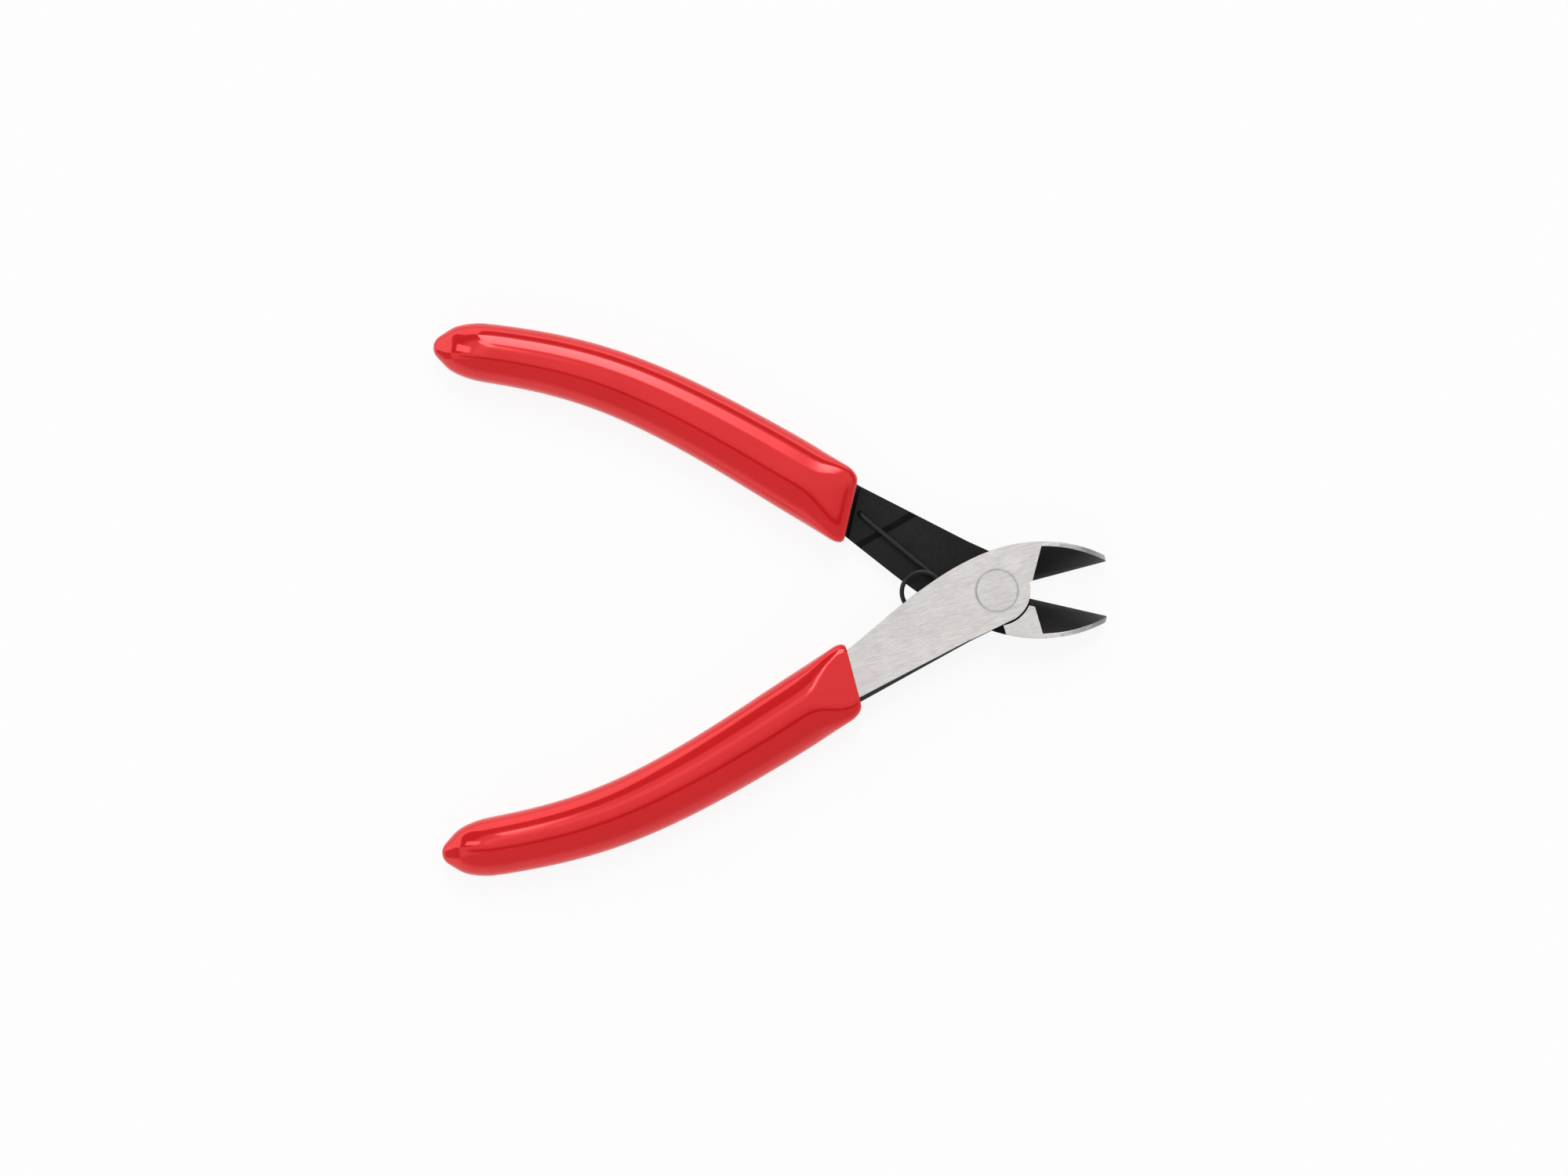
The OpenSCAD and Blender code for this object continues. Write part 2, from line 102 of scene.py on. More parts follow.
# %% A socket that does arithmetic
class Signal:
    def __init__(self, tree, socket):
        self.tree = tree
        self.socket = socket

    def add(self, kind, settings=None, output=0, **inputs):
        node = self.tree.nodes.new(kind)
        for name, value in (settings or {}).items():
            setattr(node, name, value)
        for name, value in inputs.items():
            wanted = name.replace("_", " ").lower()
            found = [s for s in node.inputs if s.enabled and s.name.lower() == wanted]
            target = found[0] if found else node.inputs[int(name.lstrip("i"))]
            if isinstance(value, Signal):
                self.tree.links.new(value.socket, target)
            else:
                target.default_value = value
        return Signal(self.tree, node.outputs[output])

    def maths(self, operation, other=0.0):
        return self.add("ShaderNodeMath", {"operation": operation}, i0=self, i1=other)

    def __add__(self, other):
        return self.maths("ADD", other)

    def __mul__(self, other):
        return self.maths("MULTIPLY", other)

    def __sub__(self, other):
        return self.maths("SUBTRACT", other)

    def __rsub__(self, other):
        return (self * -1) + other

    __radd__ = __add__
    __rmul__ = __mul__

    def between(self, low, high):
        """0 below low and 1 above high, with a smooth rise."""
        return self.add(
            "ShaderNodeMapRange", {"interpolation_type": "SMOOTHSTEP"},
            i0=self, i1=low, i2=high, i3=0.0, i4=1.0)

    def window(self, start, full, fade, end):
        """1 from full to fade, and 0 before start and after end."""
        return self.between(start, full) * (1 - self.between(fade, end))

    def mix(self, a, b):
        """Colour a where the signal is 0 and colour b where it is 1."""
        return self.add(
            "ShaderNodeMix", {"data_type": "RGBA"}, output=2, i0=self, i6=a, i7=b)


print("Signal is ready")

# %% [markdown]
# ## Starting a finish
# Every finish starts alike: a Principled shader, with what is the same all over set on its own
# sockets, and the place on the object, from which the patterns come. Only then are the few
# inputs driven that vary. The object's own coordinates keep a pattern in place as it moves.

# %% Two helpers for a finish
def finish_named(name, **fixed):
    """A material with a Principled shader; fixed values go straight on the shader's sockets."""
    material = bpy.data.materials.new(name)
    material.use_nodes = True
    tree = material.node_tree
    shader = tree.nodes["Principled BSDF"]
    for key, value in fixed.items():
        shader.inputs[key.replace("_", " ")].default_value = value
    place = tree.nodes.new("ShaderNodeTexCoord")
    here = Signal(tree, place.outputs["Object"])
    return material, shader, here


def drive(shader, **signals):
    """Links wrapped sockets to the shader's inputs."""
    for key, value in signals.items():
        value.tree.links.new(value.socket, shader.inputs[key.replace("_", " ")])


print("finishes can be made")

# %% [markdown]
# ## The light
# A plain studio of pale panels. Glossy vinyl is a mirror for it, so the reflections in the
# photograph tell where the panels hung. A lamp would do for each, but here all of them are
# painted in the world's shader from the direction alone, which gives each its own soft or
# sharp edge. Three numbers say where a direction points: its height is 1 straight up and 0 at
# the horizon, its side is to the right, and its turn is the angle round the compass, with 0
# to the right and a quarter turn behind the tool.

# %% The directions of the studio
world = bpy.data.worlds.new("studio")
bpy.context.scene.world = world
world.use_nodes = True
sky = world.node_tree
direction = Signal(sky, sky.nodes.new("ShaderNodeTexCoord").outputs["Generated"])
side, behind, height = [
    direction.add("ShaderNodeSeparateXYZ", output=k, Vector=direction) for k in range(3)]
turn = behind.maths("ARCTAN2", side)
print("studio directions ready")

# %% [markdown]
# ### Ceiling, horizon and front wall
# Behind the tool the ceiling is pale, the horizon is bright, and between them is a dark band.
# That band draws the dark line along each grip. To the left it hangs higher, which moves the
# line of the lower grip inwards. In front is an even wall, and a narrow dark gap runs across
# the ceiling, which draws the thin line along the middle of the grips.

# %% Ceiling, horizon and front wall
BAND_LIGHT, CEILING_LIGHT, HORIZON_LIGHT = 0.22, 0.72, 1.45
WALL_LIGHT, WALL_FOOT, WALL_FALL = 0.52, 0.45, 0.2
GAP_DARK = 0.85
LEFT_START, LEFT_FULL = 1.5, 1.78
CEILING_RAISED, HORIZON_RAISED = 0.28, 0.36

to_left = turn.between(LEFT_START, LEFT_FULL)
far_left = turn.window(2.0, 2.25, 2.25, 2.9)
ceiling = (height - to_left * CEILING_RAISED).between(0.56, 0.64) * CEILING_LIGHT + BAND_LIGHT
horizon_top = to_left * (1 - far_left * 0.85) * HORIZON_RAISED
horizon = (1 - (height - horizon_top).between(0.24, 0.32)) * turn.between(0.7, 1.05)
wall = (1 - height.between(0.3, 0.7)) * (WALL_FOOT - side * WALL_FALL) + WALL_LIGHT
is_behind = (behind - side.maths("MINIMUM", 0.0) * 0.35).between(-0.12, 0.04)
gap = behind.window(-0.15, -0.12, -0.09, -0.06) * height.between(0.8, 0.9)
panels = (ceiling + horizon * HORIZON_LIGHT) * is_behind + wall * (1 - is_behind)
panels = panels * (1 - gap * GAP_DARK)
print("panels painted")

# %% [markdown]
# ### Light boxes
# A long softbox behind the tool draws the bright line along the upper grip. It is brightest
# at its lower edge and fades towards the right. A smaller box to its left draws the short
# line at the end of the lower grip, one beside that the spot at both ends, and a faint long
# streak the line along the lower grip. Each has two windows, in height and in turn.

# %% Light boxes
SOFTBOX_LIGHT, SOFTBOX_TOP, SOFTBOX_FALL = 5.5, 1.14, 0.36
SMALL_BOX_LIGHT, TIP_BOX_LIGHT, STREAK_LIGHT = 4.0, 2.5, 0.4

softbox = (height.window(0.67, 0.71, 0.93, 0.955) * turn.window(0.95, 1.35, 1.76, 1.79)
           * (SOFTBOX_TOP - height.between(0.7, 0.96) * SOFTBOX_FALL))
small_box = height.window(0.9, 0.92, 0.975, 0.985) * turn.window(1.72, 1.8, 1.93, 2.05)
tip_box = height.window(0.78, 0.81, 0.93, 0.95) * turn.window(2.7, 2.75, 3.0, 3.05)
streak = height.window(0.955, 0.97, 0.985, 0.995) * to_left
panels = (panels + softbox * SOFTBOX_LIGHT + small_box * SMALL_BOX_LIGHT
          + streak * STREAK_LIGHT + tip_box * TIP_BOX_LIGHT)

# The camera itself sees plain white, so that the ground of the picture is white.
camera_ray = Signal(sky, sky.nodes.new("ShaderNodeLightPath").outputs["Is Camera Ray"])
glow = camera_ray + panels * (1 - camera_ray)
sky.links.new(glow.socket, sky.nodes["Background"].inputs["Strength"])
sky.nodes["Background"].inputs["Color"].default_value = (1, 1, 1, 1)
print("light boxes painted,", len(sky.nodes), "nodes")

# %% [markdown]
# ## The floor
# The tool was photographed lying on a table, so a flat floor touches its lowest point, the
# undersides of the grips. It is far wider than the picture, so that no edge of it shows.

# %% The floor under the tool
FLOOR_Z = cad_box[0][2]
FLOOR_HALF = 3
floor_mesh = bpy.data.meshes.new("floor")
bm = bmesh.new()
bmesh.ops.create_grid(bm, x_segments=2, y_segments=2, size=FLOOR_HALF)
bmesh.ops.translate(bm, verts=bm.verts, vec=(0, 0, FLOOR_Z))
bm.to_mesh(floor_mesh)
bm.free()
floor = bpy.data.objects.new("floor", floor_mesh)
bpy.context.collection.objects.link(floor)
print("floor at %.2f mm" % (FLOOR_Z / MM))

# %% [markdown]
# ### White ground
# The photograph has a plain white ground. The floor's colour gives it, with a share of even
# glow that only the camera and mirrors see, so that the floor still takes the tool's shadow.

# %% White ground with a shadow
GLOW_SHARE = 0.88
ground_finish, ground_shader, _ = finish_named(
    "white_ground", Base_Color=(0.9, 0.9, 0.9, 1), Roughness=0.9, Specular_IOR_Level=0.1)
ground_tree = ground_finish.node_tree
rays = ground_tree.nodes.new("ShaderNodeLightPath")
seen = [Signal(ground_tree, rays.outputs[name])
        for name in ("Is Camera Ray", "Is Glossy Ray", "Is Transmission Ray")]
share = (seen[0] + seen[1] + seen[2]).between(0.0, 1.0) * GLOW_SHARE
even = share.add("ShaderNodeEmission", Color=(1, 1, 1, 1), Strength=1.0)
both = share.add("ShaderNodeMixShader", i0=share, i2=even)
ground_tree.links.new(ground_shader.outputs[0], both.socket.node.inputs[1])
ground_tree.links.new(both.socket, ground_tree.nodes["Material Output"].inputs["Surface"])
floor_mesh.materials.append(ground_finish)
print("ground finished")

# %% [markdown]
# ## Ground steel
# The faces of the head are ground on a belt after the tool is riveted together, so the fine
# scratches run one way over both levers and the rivet. Noise that is stretched ten to forty
# times along that way gives them: wide streaks, hairlines, and a few deep scratches.

# %% Noise along the belt
GRIND_ANGLE = 16


def stretched(here, angle, along, across, detail=2.0, offset=0.0):
    """Noise drawn out in one direction in the plane of the plate, in patches per metre."""
    turned = here.add(
        "ShaderNodeMapping", {"vector_type": "TEXTURE"}, Vector=here,
        Location=(offset, offset, 0.0), Rotation=(0.0, 0.0, math.radians(angle)),
        Scale=(1 / along, 1 / across, 5 / across))
    return here.add(
        "ShaderNodeTexNoise", Vector=turned, Scale=1.0, Detail=detail, Roughness=0.6)


print("belt runs at", GRIND_ANGLE, "degrees")

# %% [markdown]
# Towards the tips the steel is painted darker: painted shade for the falling fronts, which turn
# away from the light. The rim of the rivet's head shows as a thin dark ring, uneven because it
# was ground away with the rest. Both are painted from the place on the tool alone, so the
# levers and the rivet agree.

# %% Ground steel
STEEL_DARK, STEEL_LIGHT = (0.56, 0.54, 0.53, 1), (0.79, 0.763, 0.75, 1)
SCRATCH_COLOUR, SCRATCH_SHARE = (0.45, 0.445, 0.44, 1), 0.25
TIP_SHADE_COLOUR, TIP_SHADE_SHARE = (0.26, 0.256, 0.252, 1), 0.85
RING_COLOUR, RING_SHARE = (0.30, 0.293, 0.287, 1), 0.75
TIP_FROM, TIP_TO = 12.5 * MM, 18.5 * MM
HEAD_R, RING_HALF = 3.8 * MM, 0.4 * MM
STEEL_ROUGH, STREAK_ROUGH, TIP_ROUGH = 0.32, 0.16, 0.15


def ground_steel(name):
    steel, shader, here = finish_named(name, Metallic=1.0)
    streaks = stretched(here, GRIND_ANGLE, 450.0, 6000.0, detail=3.0)
    hairs = stretched(here, GRIND_ANGLE + 2.0, 900.0, 24000.0, offset=0.3)
    deep = stretched(here, GRIND_ANGLE - 3.0, 300.0, 12000.0, offset=0.7).between(0.62, 0.72)
    clouds = here.add("ShaderNodeTexNoise", Vector=here, Scale=220.0, Detail=3.0)
    tone = (streaks * 0.42 + hairs * 0.42 + clouds * 0.16).between(0.35, 0.65)
    colour = (deep * SCRATCH_SHARE).mix(tone.mix(STEEL_DARK, STEEL_LIGHT), SCRATCH_COLOUR)
    along = here.add("ShaderNodeSeparateXYZ", output=0, Vector=here)
    # painted shade: the steel gets darker towards the tips, where the falling fronts turn away
    # from the light
    tip_shade = along.between(TIP_FROM, TIP_TO) * (clouds.between(0.35, 0.6) * 0.5 + 0.5)
    colour = (tip_shade * TIP_SHADE_SHARE).mix(colour, TIP_SHADE_COLOUR)
    flat = here.add("ShaderNodeVectorMath", {"operation": "MULTIPLY"}, i0=here, i1=(1, 1, 0))
    radius = here.add("ShaderNodeVectorMath", {"operation": "LENGTH"}, output=1, i0=flat)
    ring = 1 - (radius - HEAD_R).maths("ABSOLUTE").between(0.0, RING_HALF)
    ring = ring * (clouds.between(0.3, 0.6) * 0.6 + 0.4)
    colour = (ring * RING_SHARE).mix(colour, RING_COLOUR)
    bump = here.add(
        "ShaderNodeBump", Strength=0.3, Distance=0.01 * MM,
        Height=streaks * 0.5 + hairs * 0.5 - deep * 0.6)
    roughness = streaks * STREAK_ROUGH + tip_shade * TIP_ROUGH + STEEL_ROUGH
    drive(shader, Base_Color=colour, Roughness=roughness, Normal=bump)
    return steel


steel_finish = ground_steel("ground_steel")
print("ground steel:", len(steel_finish.node_tree.nodes), "nodes")

# %% [markdown]
# ## Black oxide
# Everywhere else the levers keep the black skin of the heat treatment: dull, nearly black,
# faintly cloudy, and a little lighter where it has been handled. Its gloss is weak, so the
# specular level on the shader's own socket is low. The creases get a blacker copy, which is
# painted shade for the shadow that lies in them, and the spring's wire is smoother and
# shinier. So one function makes the three.

# %% Black oxide
def black_oxide(name, base, worn, rough, gloss):
    black, shader, here = finish_named(name, Specular_IOR_Level=gloss)
    mottle = here.add(
        "ShaderNodeTexNoise", Vector=here, Scale=2600.0, Detail=4.0, Roughness=0.7)
    clouds = here.add("ShaderNodeTexNoise", Vector=here, Scale=150.0, Detail=2.0)
    colour = (mottle * 0.7 + clouds * 0.3).between(0.35, 0.75).mix(base, worn)
    bump = here.add("ShaderNodeBump", Strength=0.2, Distance=0.03 * MM, Height=mottle)
    drive(shader, Base_Color=colour, Roughness=mottle * 0.25 + (rough - 0.12), Normal=bump)
    return black


black_finish = black_oxide(
    "black_oxide", (0.008, 0.008, 0.0085, 1), (0.019, 0.019, 0.020, 1), rough=0.5, gloss=0.15)
# painted shade: the crease slopes get a blacker oxide for the shadow that lies in them
crease_shade_finish = black_oxide(
    "black_oxide_crease_shade", (0.004, 0.004, 0.004, 1), (0.008, 0.008, 0.008, 1),
    rough=0.6, gloss=0.1)
spring_finish = black_oxide(
    "spring_wire", (0.012, 0.012, 0.013, 1), (0.02, 0.02, 0.022, 1), rough=0.35, gloss=0.3)
print("black finishes:", black_finish.name, crease_shade_finish.name, spring_finish.name)

# %% [markdown]
# ## The levers
# Each lever is one stamping. The CAD solid has its exact shape, but with knife-sharp edges,
# and a real stamping has small rounded ones that catch the light. Drawing it anew would risk
# the size, so each lever is a copy of its node, with its edges bevelled. Its faces and edges
# are told apart by their place in the lever's own frame, where the lever is closed and its
# cutting edge lies along X. The two matrices lead from that frame to the open tool.

# %% Sizes of the lever, as in the CAD source
HALF_T = 3.2
OPEN_HALF = 13.8
JAW_LEN, JAW_H, JAW_CREST, TIP_H, EDGE_Y = 20.6, 7.4, 3.4, 1.2, 0.025
TIP_FLAT = 0.9
LAND_W = 0.8
BOSS_R, RECESS_R = 6.05, 6.4
SHANK_X, PLATE_TOP = -6, 1.95
HOLE = (-27.2, -8.1)
MOUTH_X = -29.2
jaw_fall = JAW_H - EDGE_Y - TIP_H
BACK_R = ((JAW_LEN - JAW_CREST) ** 2 + jaw_fall ** 2) / (2 * jaw_fall)
BACK_CENTRE = Vector((JAW_CREST, JAW_H - BACK_R, 0))

to_front = Matrix.Translation((0, 0, HALF_T)) @ Matrix.Rotation(math.radians(OPEN_HALF), 4, "Z")
to_rear = (Matrix.Translation((0, 0, HALF_T)) @ Matrix.Rotation(math.radians(-OPEN_HALF), 4, "Z")
           @ Matrix.Rotation(math.pi, 4, "X"))
print("back radius of a jaw: %.2f mm" % BACK_R)

# %% [markdown]
# ### There and back
# A node comes as loose triangles in metres. To bevel it, its triangles are joined and those of
# a flat area become one face, all in millimetres, which suits the small tolerances. At the end
# the mesh goes back to metres and rides on its lever's body in place of the node.

# %% From a node to a mesh and to a piece
def merged_copy(node):
    """A bmesh of a CAD node in millimetres, with its flat areas as single faces."""
    bm = bmesh.new()
    bm.from_mesh(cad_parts[node].data)
    bmesh.ops.scale(bm, vec=(1 / MM,) * 3, verts=bm.verts)
    bmesh.ops.remove_doubles(bm, verts=bm.verts, dist=0.002)
    bmesh.ops.dissolve_limit(
        bm, angle_limit=math.radians(0.4), verts=bm.verts, edges=bm.edges,
        use_dissolve_boundaries=False, delimit=set())
    bmesh.ops.recalc_face_normals(bm, faces=bm.faces)
    return bm


def as_piece(bm, name, body, node, slot, *finishes):
    """Turns a bmesh in millimetres into a piece that rides on a body in place of a node."""
    bmesh.ops.scale(bm, vec=(MM,) * 3, verts=bm.verts)
    mesh = bpy.data.meshes.new(name)
    bm.to_mesh(mesh)
    bm.free()
    for finish in finishes:
        mesh.materials.append(finish)
    piece = bpy.data.objects.new(name, mesh)
    bpy.context.collection.objects.link(piece)
    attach(piece, body)
    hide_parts(node)
    return piece


print("pieces can be made")

# %% [markdown]
# ### Bright, black and crease
# The belt grinds the outer faces of the head and a strip along the back of each jaw's front.
# The rest stays black, and the slopes that step down to the shank and climb to the tang are
# the creases, which get a blacker finish as painted shade. The face's place and normal tell
# which is which.

# %% Which finish a face has
BRIGHT, BLACK, CREASE_SHADE = range(3)


def middle_of(edge):
    return (edge.verts[0].co + edge.verts[1].co) / 2


def inside_back(own):
    """The distance from a jaw's back, along the radius of the back."""
    return BACK_R - (Vector((own.x, own.y, 0)) - BACK_CENTRE).length


def is_ground(face, to_own, mirrored):
    centre = face.calc_center_median()
    on_outside = min(abs(centre.z), abs(centre.z - 2 * HALF_T)) < 0.03
    if abs(face.normal.z) > 0.999 and on_outside:
        return True
    own = to_own @ centre
    facing = to_own.to_3x3() @ face.normal
    if mirrored:
        facing.z = -facing.z
    return (own.x > JAW_CREST and inside_back(own) < LAND_W + 0.15 and centre.z > HALF_T - 1
            and facing.y > -0.3 and facing.z > 0.4)


def is_crease(face, to_own):
    own = to_own @ face.calc_center_median()
    return own.x < SHANK_X and own.z < PLATE_TOP and 0.12 < abs(face.normal.z) < 0.96


def finish_of(face, to_own, mirrored):
    if is_crease(face, to_own):
        return CREASE_SHADE
    return BRIGHT if is_ground(face, to_own, mirrored) else BLACK


print("finishes of a lever:", BRIGHT, BLACK, CREASE_SHADE)

# %% [markdown]
# ### Four kinds of edges
# The folds of the creases are soft, because a press has bent them. A burr is left between the
# bevel of a jaw and the strip behind it, and catches the light as a bright line. Low in the
# picture the head's front edges get a black rounding. All other outer edges are rounded by a
# tenth of a millimetre, but not the cutting edge, nor those that touch the other lever or lie
# under the grip.

# %% Which edges are which
FOLD_TOP = 2.4
HEAD_X = 9
ROUNDED_FROM = math.radians(28)


def between_finishes(edge, *wanted):
    faces = edge.link_faces
    return len(faces) == 2 and sorted(f.material_index for f in faces) == list(wanted)


def is_fold(edge, to_own):
    faces = edge.link_faces
    return (len(faces) == 2 and CREASE_SHADE in [f.material_index for f in faces]
            and not between_finishes(edge, CREASE_SHADE, CREASE_SHADE)
            and max(abs((to_own @ v.co).z) for v in edge.verts) < FOLD_TOP
            and edge.calc_face_angle() > math.radians(5)
            and all(abs(f.normal.z) > 0.3 for f in faces))


def is_burr(edge, to_own):
    own = to_own @ middle_of(edge)
    return (JAW_CREST + 1 < own.x < JAW_LEN - TIP_FLAT
            and abs(inside_back(own) - LAND_W) < 0.16)


def is_black_rim(edge):
    if not between_finishes(edge, BRIGHT, BLACK) or not edge.is_convex:
        return False
    middle = middle_of(edge)
    lowest = min(edge.link_faces, key=lambda f: f.normal.y)
    return (middle.z > 2 * HALF_T - 0.02 and middle.y < 0 and abs(middle.x) < HEAD_X
            and abs(lowest.normal.z) < 0.02 and lowest.normal.y < -0.5
            and middle.xy.length > BOSS_R + 0.02 and edge.calc_length() > 0.5)


def is_rounded(edge, to_own):
    if len(edge.link_faces) != 2 or not edge.is_convex or edge.calc_length() < 0.02:
        return False
    own = to_own @ middle_of(edge)
    near_pivot = own.xy.length < BOSS_R + 0.7
    at_edge = abs(own.y) < 0.5 and own.x > RECESS_R
    at_hole = (own.xy - Vector(HOLE)).length < 0.8
    at_ends = own.x < MOUTH_X or own.x > JAW_LEN - TIP_FLAT
    return (edge.calc_face_angle() >= ROUNDED_FROM and not is_burr(edge, to_own)
            and not (near_pivot or at_edge or at_hole or at_ends))


print("edges can be told apart")

# %% [markdown]
# ### Bevelling them in turn
# The order matters, because each bevel makes new faces that the next one looks at: the soft
# folds come first, then the burr and the black rims, and the fine rounding last. Then the
# normals are smoothed over the roundings, but not over corners nor on the flat ground faces.

# %% The two levers
FOLD_WIDTH, BURR_WIDTH, ROUND_WIDTH = 0.2, 0.1, 0.09
FRONT_RIM, REAR_RIM = 0.18, 0.16
SHARP_FROM = math.radians(22)


def bevel(bm, edges, width, segments, finish, clamp=True):
    bmesh.ops.bevel(
        bm, geom=edges, offset=width, offset_type="OFFSET", segments=segments, profile=0.5,
        affect="EDGES", material=finish, clamp_overlap=clamp)


def lever(node, body, to_row, mirrored, slot):
    bm = merged_copy(node)
    to_own = to_row.inverted()
    for face in bm.faces:
        face.material_index = finish_of(face, to_own, mirrored)
    folds = [e for e in bm.edges if is_fold(e, to_own)]
    # the folds' roundings take the same painted crease shade, which widens the dark band
    bevel(bm, folds, FOLD_WIDTH, 2, CREASE_SHADE)
    burr = [e for e in bm.edges if e.is_convex and between_finishes(e, BRIGHT, BLACK)
            and is_burr(e, to_own)]
    bevel(bm, burr, BURR_WIDTH, 1, BRIGHT)
    rims = [e for e in bm.edges if is_black_rim(e)]
    bevel(bm, rims, REAR_RIM if mirrored else FRONT_RIM, 1, BLACK, clamp=mirrored)
    rounded = [e for e in bm.edges if is_rounded(e, to_own)]
    bevel(bm, rounded, ROUND_WIDTH, 2, -1)
    print("%s: %d folds, %d burr, %d rim and %d rounded edges, %d faces"
          % (node, len(folds), len(burr), len(rims), len(rounded), len(bm.faces)))
    piece = as_piece(bm, node + "_dressed", body, node, slot, steel_finish, black_finish,
                     crease_shade_finish)
    piece.data.shade_smooth()
    piece.data.set_sharp_from_angle(angle=SHARP_FROM)
    for polygon in piece.data.polygons:
        polygon.use_smooth = abs(polygon.normal.z) < 0.99999
    return piece


front = lever("front_lever", "front_half", to_front, False, "ground_steel")
rear = lever("rear_lever", "rear_half", to_rear, True, "black_steel")
print("levers:", front.name, rear.name)

# %% [markdown]
# ## The rivet
# The rivet is one pin with two heads, pressed cold. The heads are ground flush with the levers,
# so they show only as a faint circle. The CAD node is right as it is, so it stays and only gets
# the ground finish, under a name of its own.

# %% Rivet
rivet_finish = ground_steel("rivet_steel")
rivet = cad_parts["rivet"]
rivet.material_slots[0].material = rivet_finish
print("rivet kept, with its finish")

# %% [markdown]
# ## Red dipped vinyl
# The handles are dipped in liquid vinyl, which sets to a soft glossy skin. Its colour is even
# and deep, and in the photograph its reflections are red too and stronger than those of clear
# plastic. A high index with a red tint gives that, and a pale red sheen the light rim. The
# skin is smooth but for a faint waviness from the dipping, which makes the reflections swim.

# %% Vinyl
vinyl_finish, vinyl_shader, vinyl_here = finish_named(
    "dipped_vinyl", IOR=2.06, Specular_IOR_Level=1.0, Specular_Tint=(1.0, 0.15, 0.155, 1),
    Sheen_Weight=1.0, Sheen_Roughness=0.42, Sheen_Tint=(1.0, 0.5, 0.48, 1))
waves = vinyl_here.add("ShaderNodeTexNoise", Vector=vinyl_here, Scale=70.0, Detail=1.0)
grains = vinyl_here.add("ShaderNodeTexNoise", Vector=vinyl_here, Scale=900.0, Detail=2.0)
red = waves.between(0.3, 0.7).mix((0.63, 0.0045, 0.007, 1), (0.67, 0.007, 0.010, 1))
vinyl_bump = vinyl_here.add("ShaderNodeBump", Strength=0.12, Distance=0.4 * MM, Height=waves)
drive(vinyl_shader, Base_Color=red, Roughness=grains * 0.02 + 0.06, Normal=vinyl_bump)
print("vinyl made")

# %% [markdown]
# ## The grips
# A dipped grip follows the handle with an even skin, is puffed out at its mouth and ends in a
# small nub where the last drop of vinyl hung. The easiest way to such a form is a loft: one
# circle of points at the mouth is extruded again and again along the handle's middle line,
# and each new ring is moved to the section that belongs there. The line is a cubic curve
# from A at the mouth to D at the end, and B and C pull it into its bend.

# %% The middle line of a handle
GRIP_A = Vector((-29.0, -8.4))
GRIP_D = Vector((-109.4, -20.6))
PULL_B, ANGLE_B = 47, math.radians(19)
PULL_C, ANGLE_C = 28, math.radians(6)
GRIP_B = GRIP_A - PULL_B * Vector((math.cos(ANGLE_B), math.sin(ANGLE_B)))
GRIP_C = GRIP_D + PULL_C * Vector((math.cos(ANGLE_C), -math.sin(ANGLE_C)))
STRAIGHT_MOUTH = 0.16


def middle(t):
    u = 1 - t
    return u ** 3 * GRIP_A + 3 * u * u * t * GRIP_B + 3 * u * t * t * GRIP_C + t ** 3 * GRIP_D


def eased(v):
    v = min(max(v, 0.0), 1.0)
    return v * v * (3 - 2 * v)


def sideways(t):
    """Across the line, but straight along Y at the mouth, which is cut off square."""
    u = 1 - t
    way = u * u * (GRIP_B - GRIP_A) + 2 * u * t * (GRIP_C - GRIP_B) + t * t * (GRIP_D - GRIP_C)
    way.normalize()
    side = Vector((0, 1)).lerp(Vector((way.y, -way.x)), eased(t / STRAIGHT_MOUTH))
    return side.normalized()


print("middle line from", GRIP_A[:], "to", GRIP_D[:])

# %% [markdown]
# ### The section
# At the mouth the section is boxy, since the skin lies tight round the flat tang, and it gets
# rounder on its way. On the side of the lap the skin is low at the mouth and rolls up to full
# height. The last centimetre closes in a round end with a waist in front of the nub.

# %% The section of a grip
MOUTH_HALF, END_HALF, TAPER = 7.0, 5.2, 0.6
MOUTH_T, THINNER = 4.5, 0.08
TANG_HALF_T, TANG_GAP = 2.6, 0.06
PLATE_HALF, PLATE_SKIN = 4.86, 0.3
ROLL_RUN, ROLL_FALL = 9.0, 0.7
BOXY, ROUNDER, ROUNDER_POWER = 8.0, 5.5, 0.7
LIP_OUTER, LIP_PLATE = 0.4, 0.12
END_RUN, WAIST, WAIST_AT, WAIST_WIDTH = 10.0, 0.13, 0.12, 0.15


def rounded_box(angle, squareness):
    """A point of a curve between a circle (2) and a square (many), seen at an angle."""
    x, y = math.cos(angle), math.sin(angle)
    reach = (abs(x) ** squareness + abs(y) ** squareness) ** (-1 / squareness)
    return x * reach, y * reach


def end_share(t):
    """How wide the rounded end with its nub is, as a share of the full width."""
    left = (GRIP_D - middle(t)).length / END_RUN
    if left >= 1:
        return 1.0
    waist = WAIST * math.exp(-((left - WAIST_AT) / WAIST_WIDTH) ** 2)
    return math.sqrt(max(0.0, 1 - (1 - left) ** 2)) * (1 - waist)


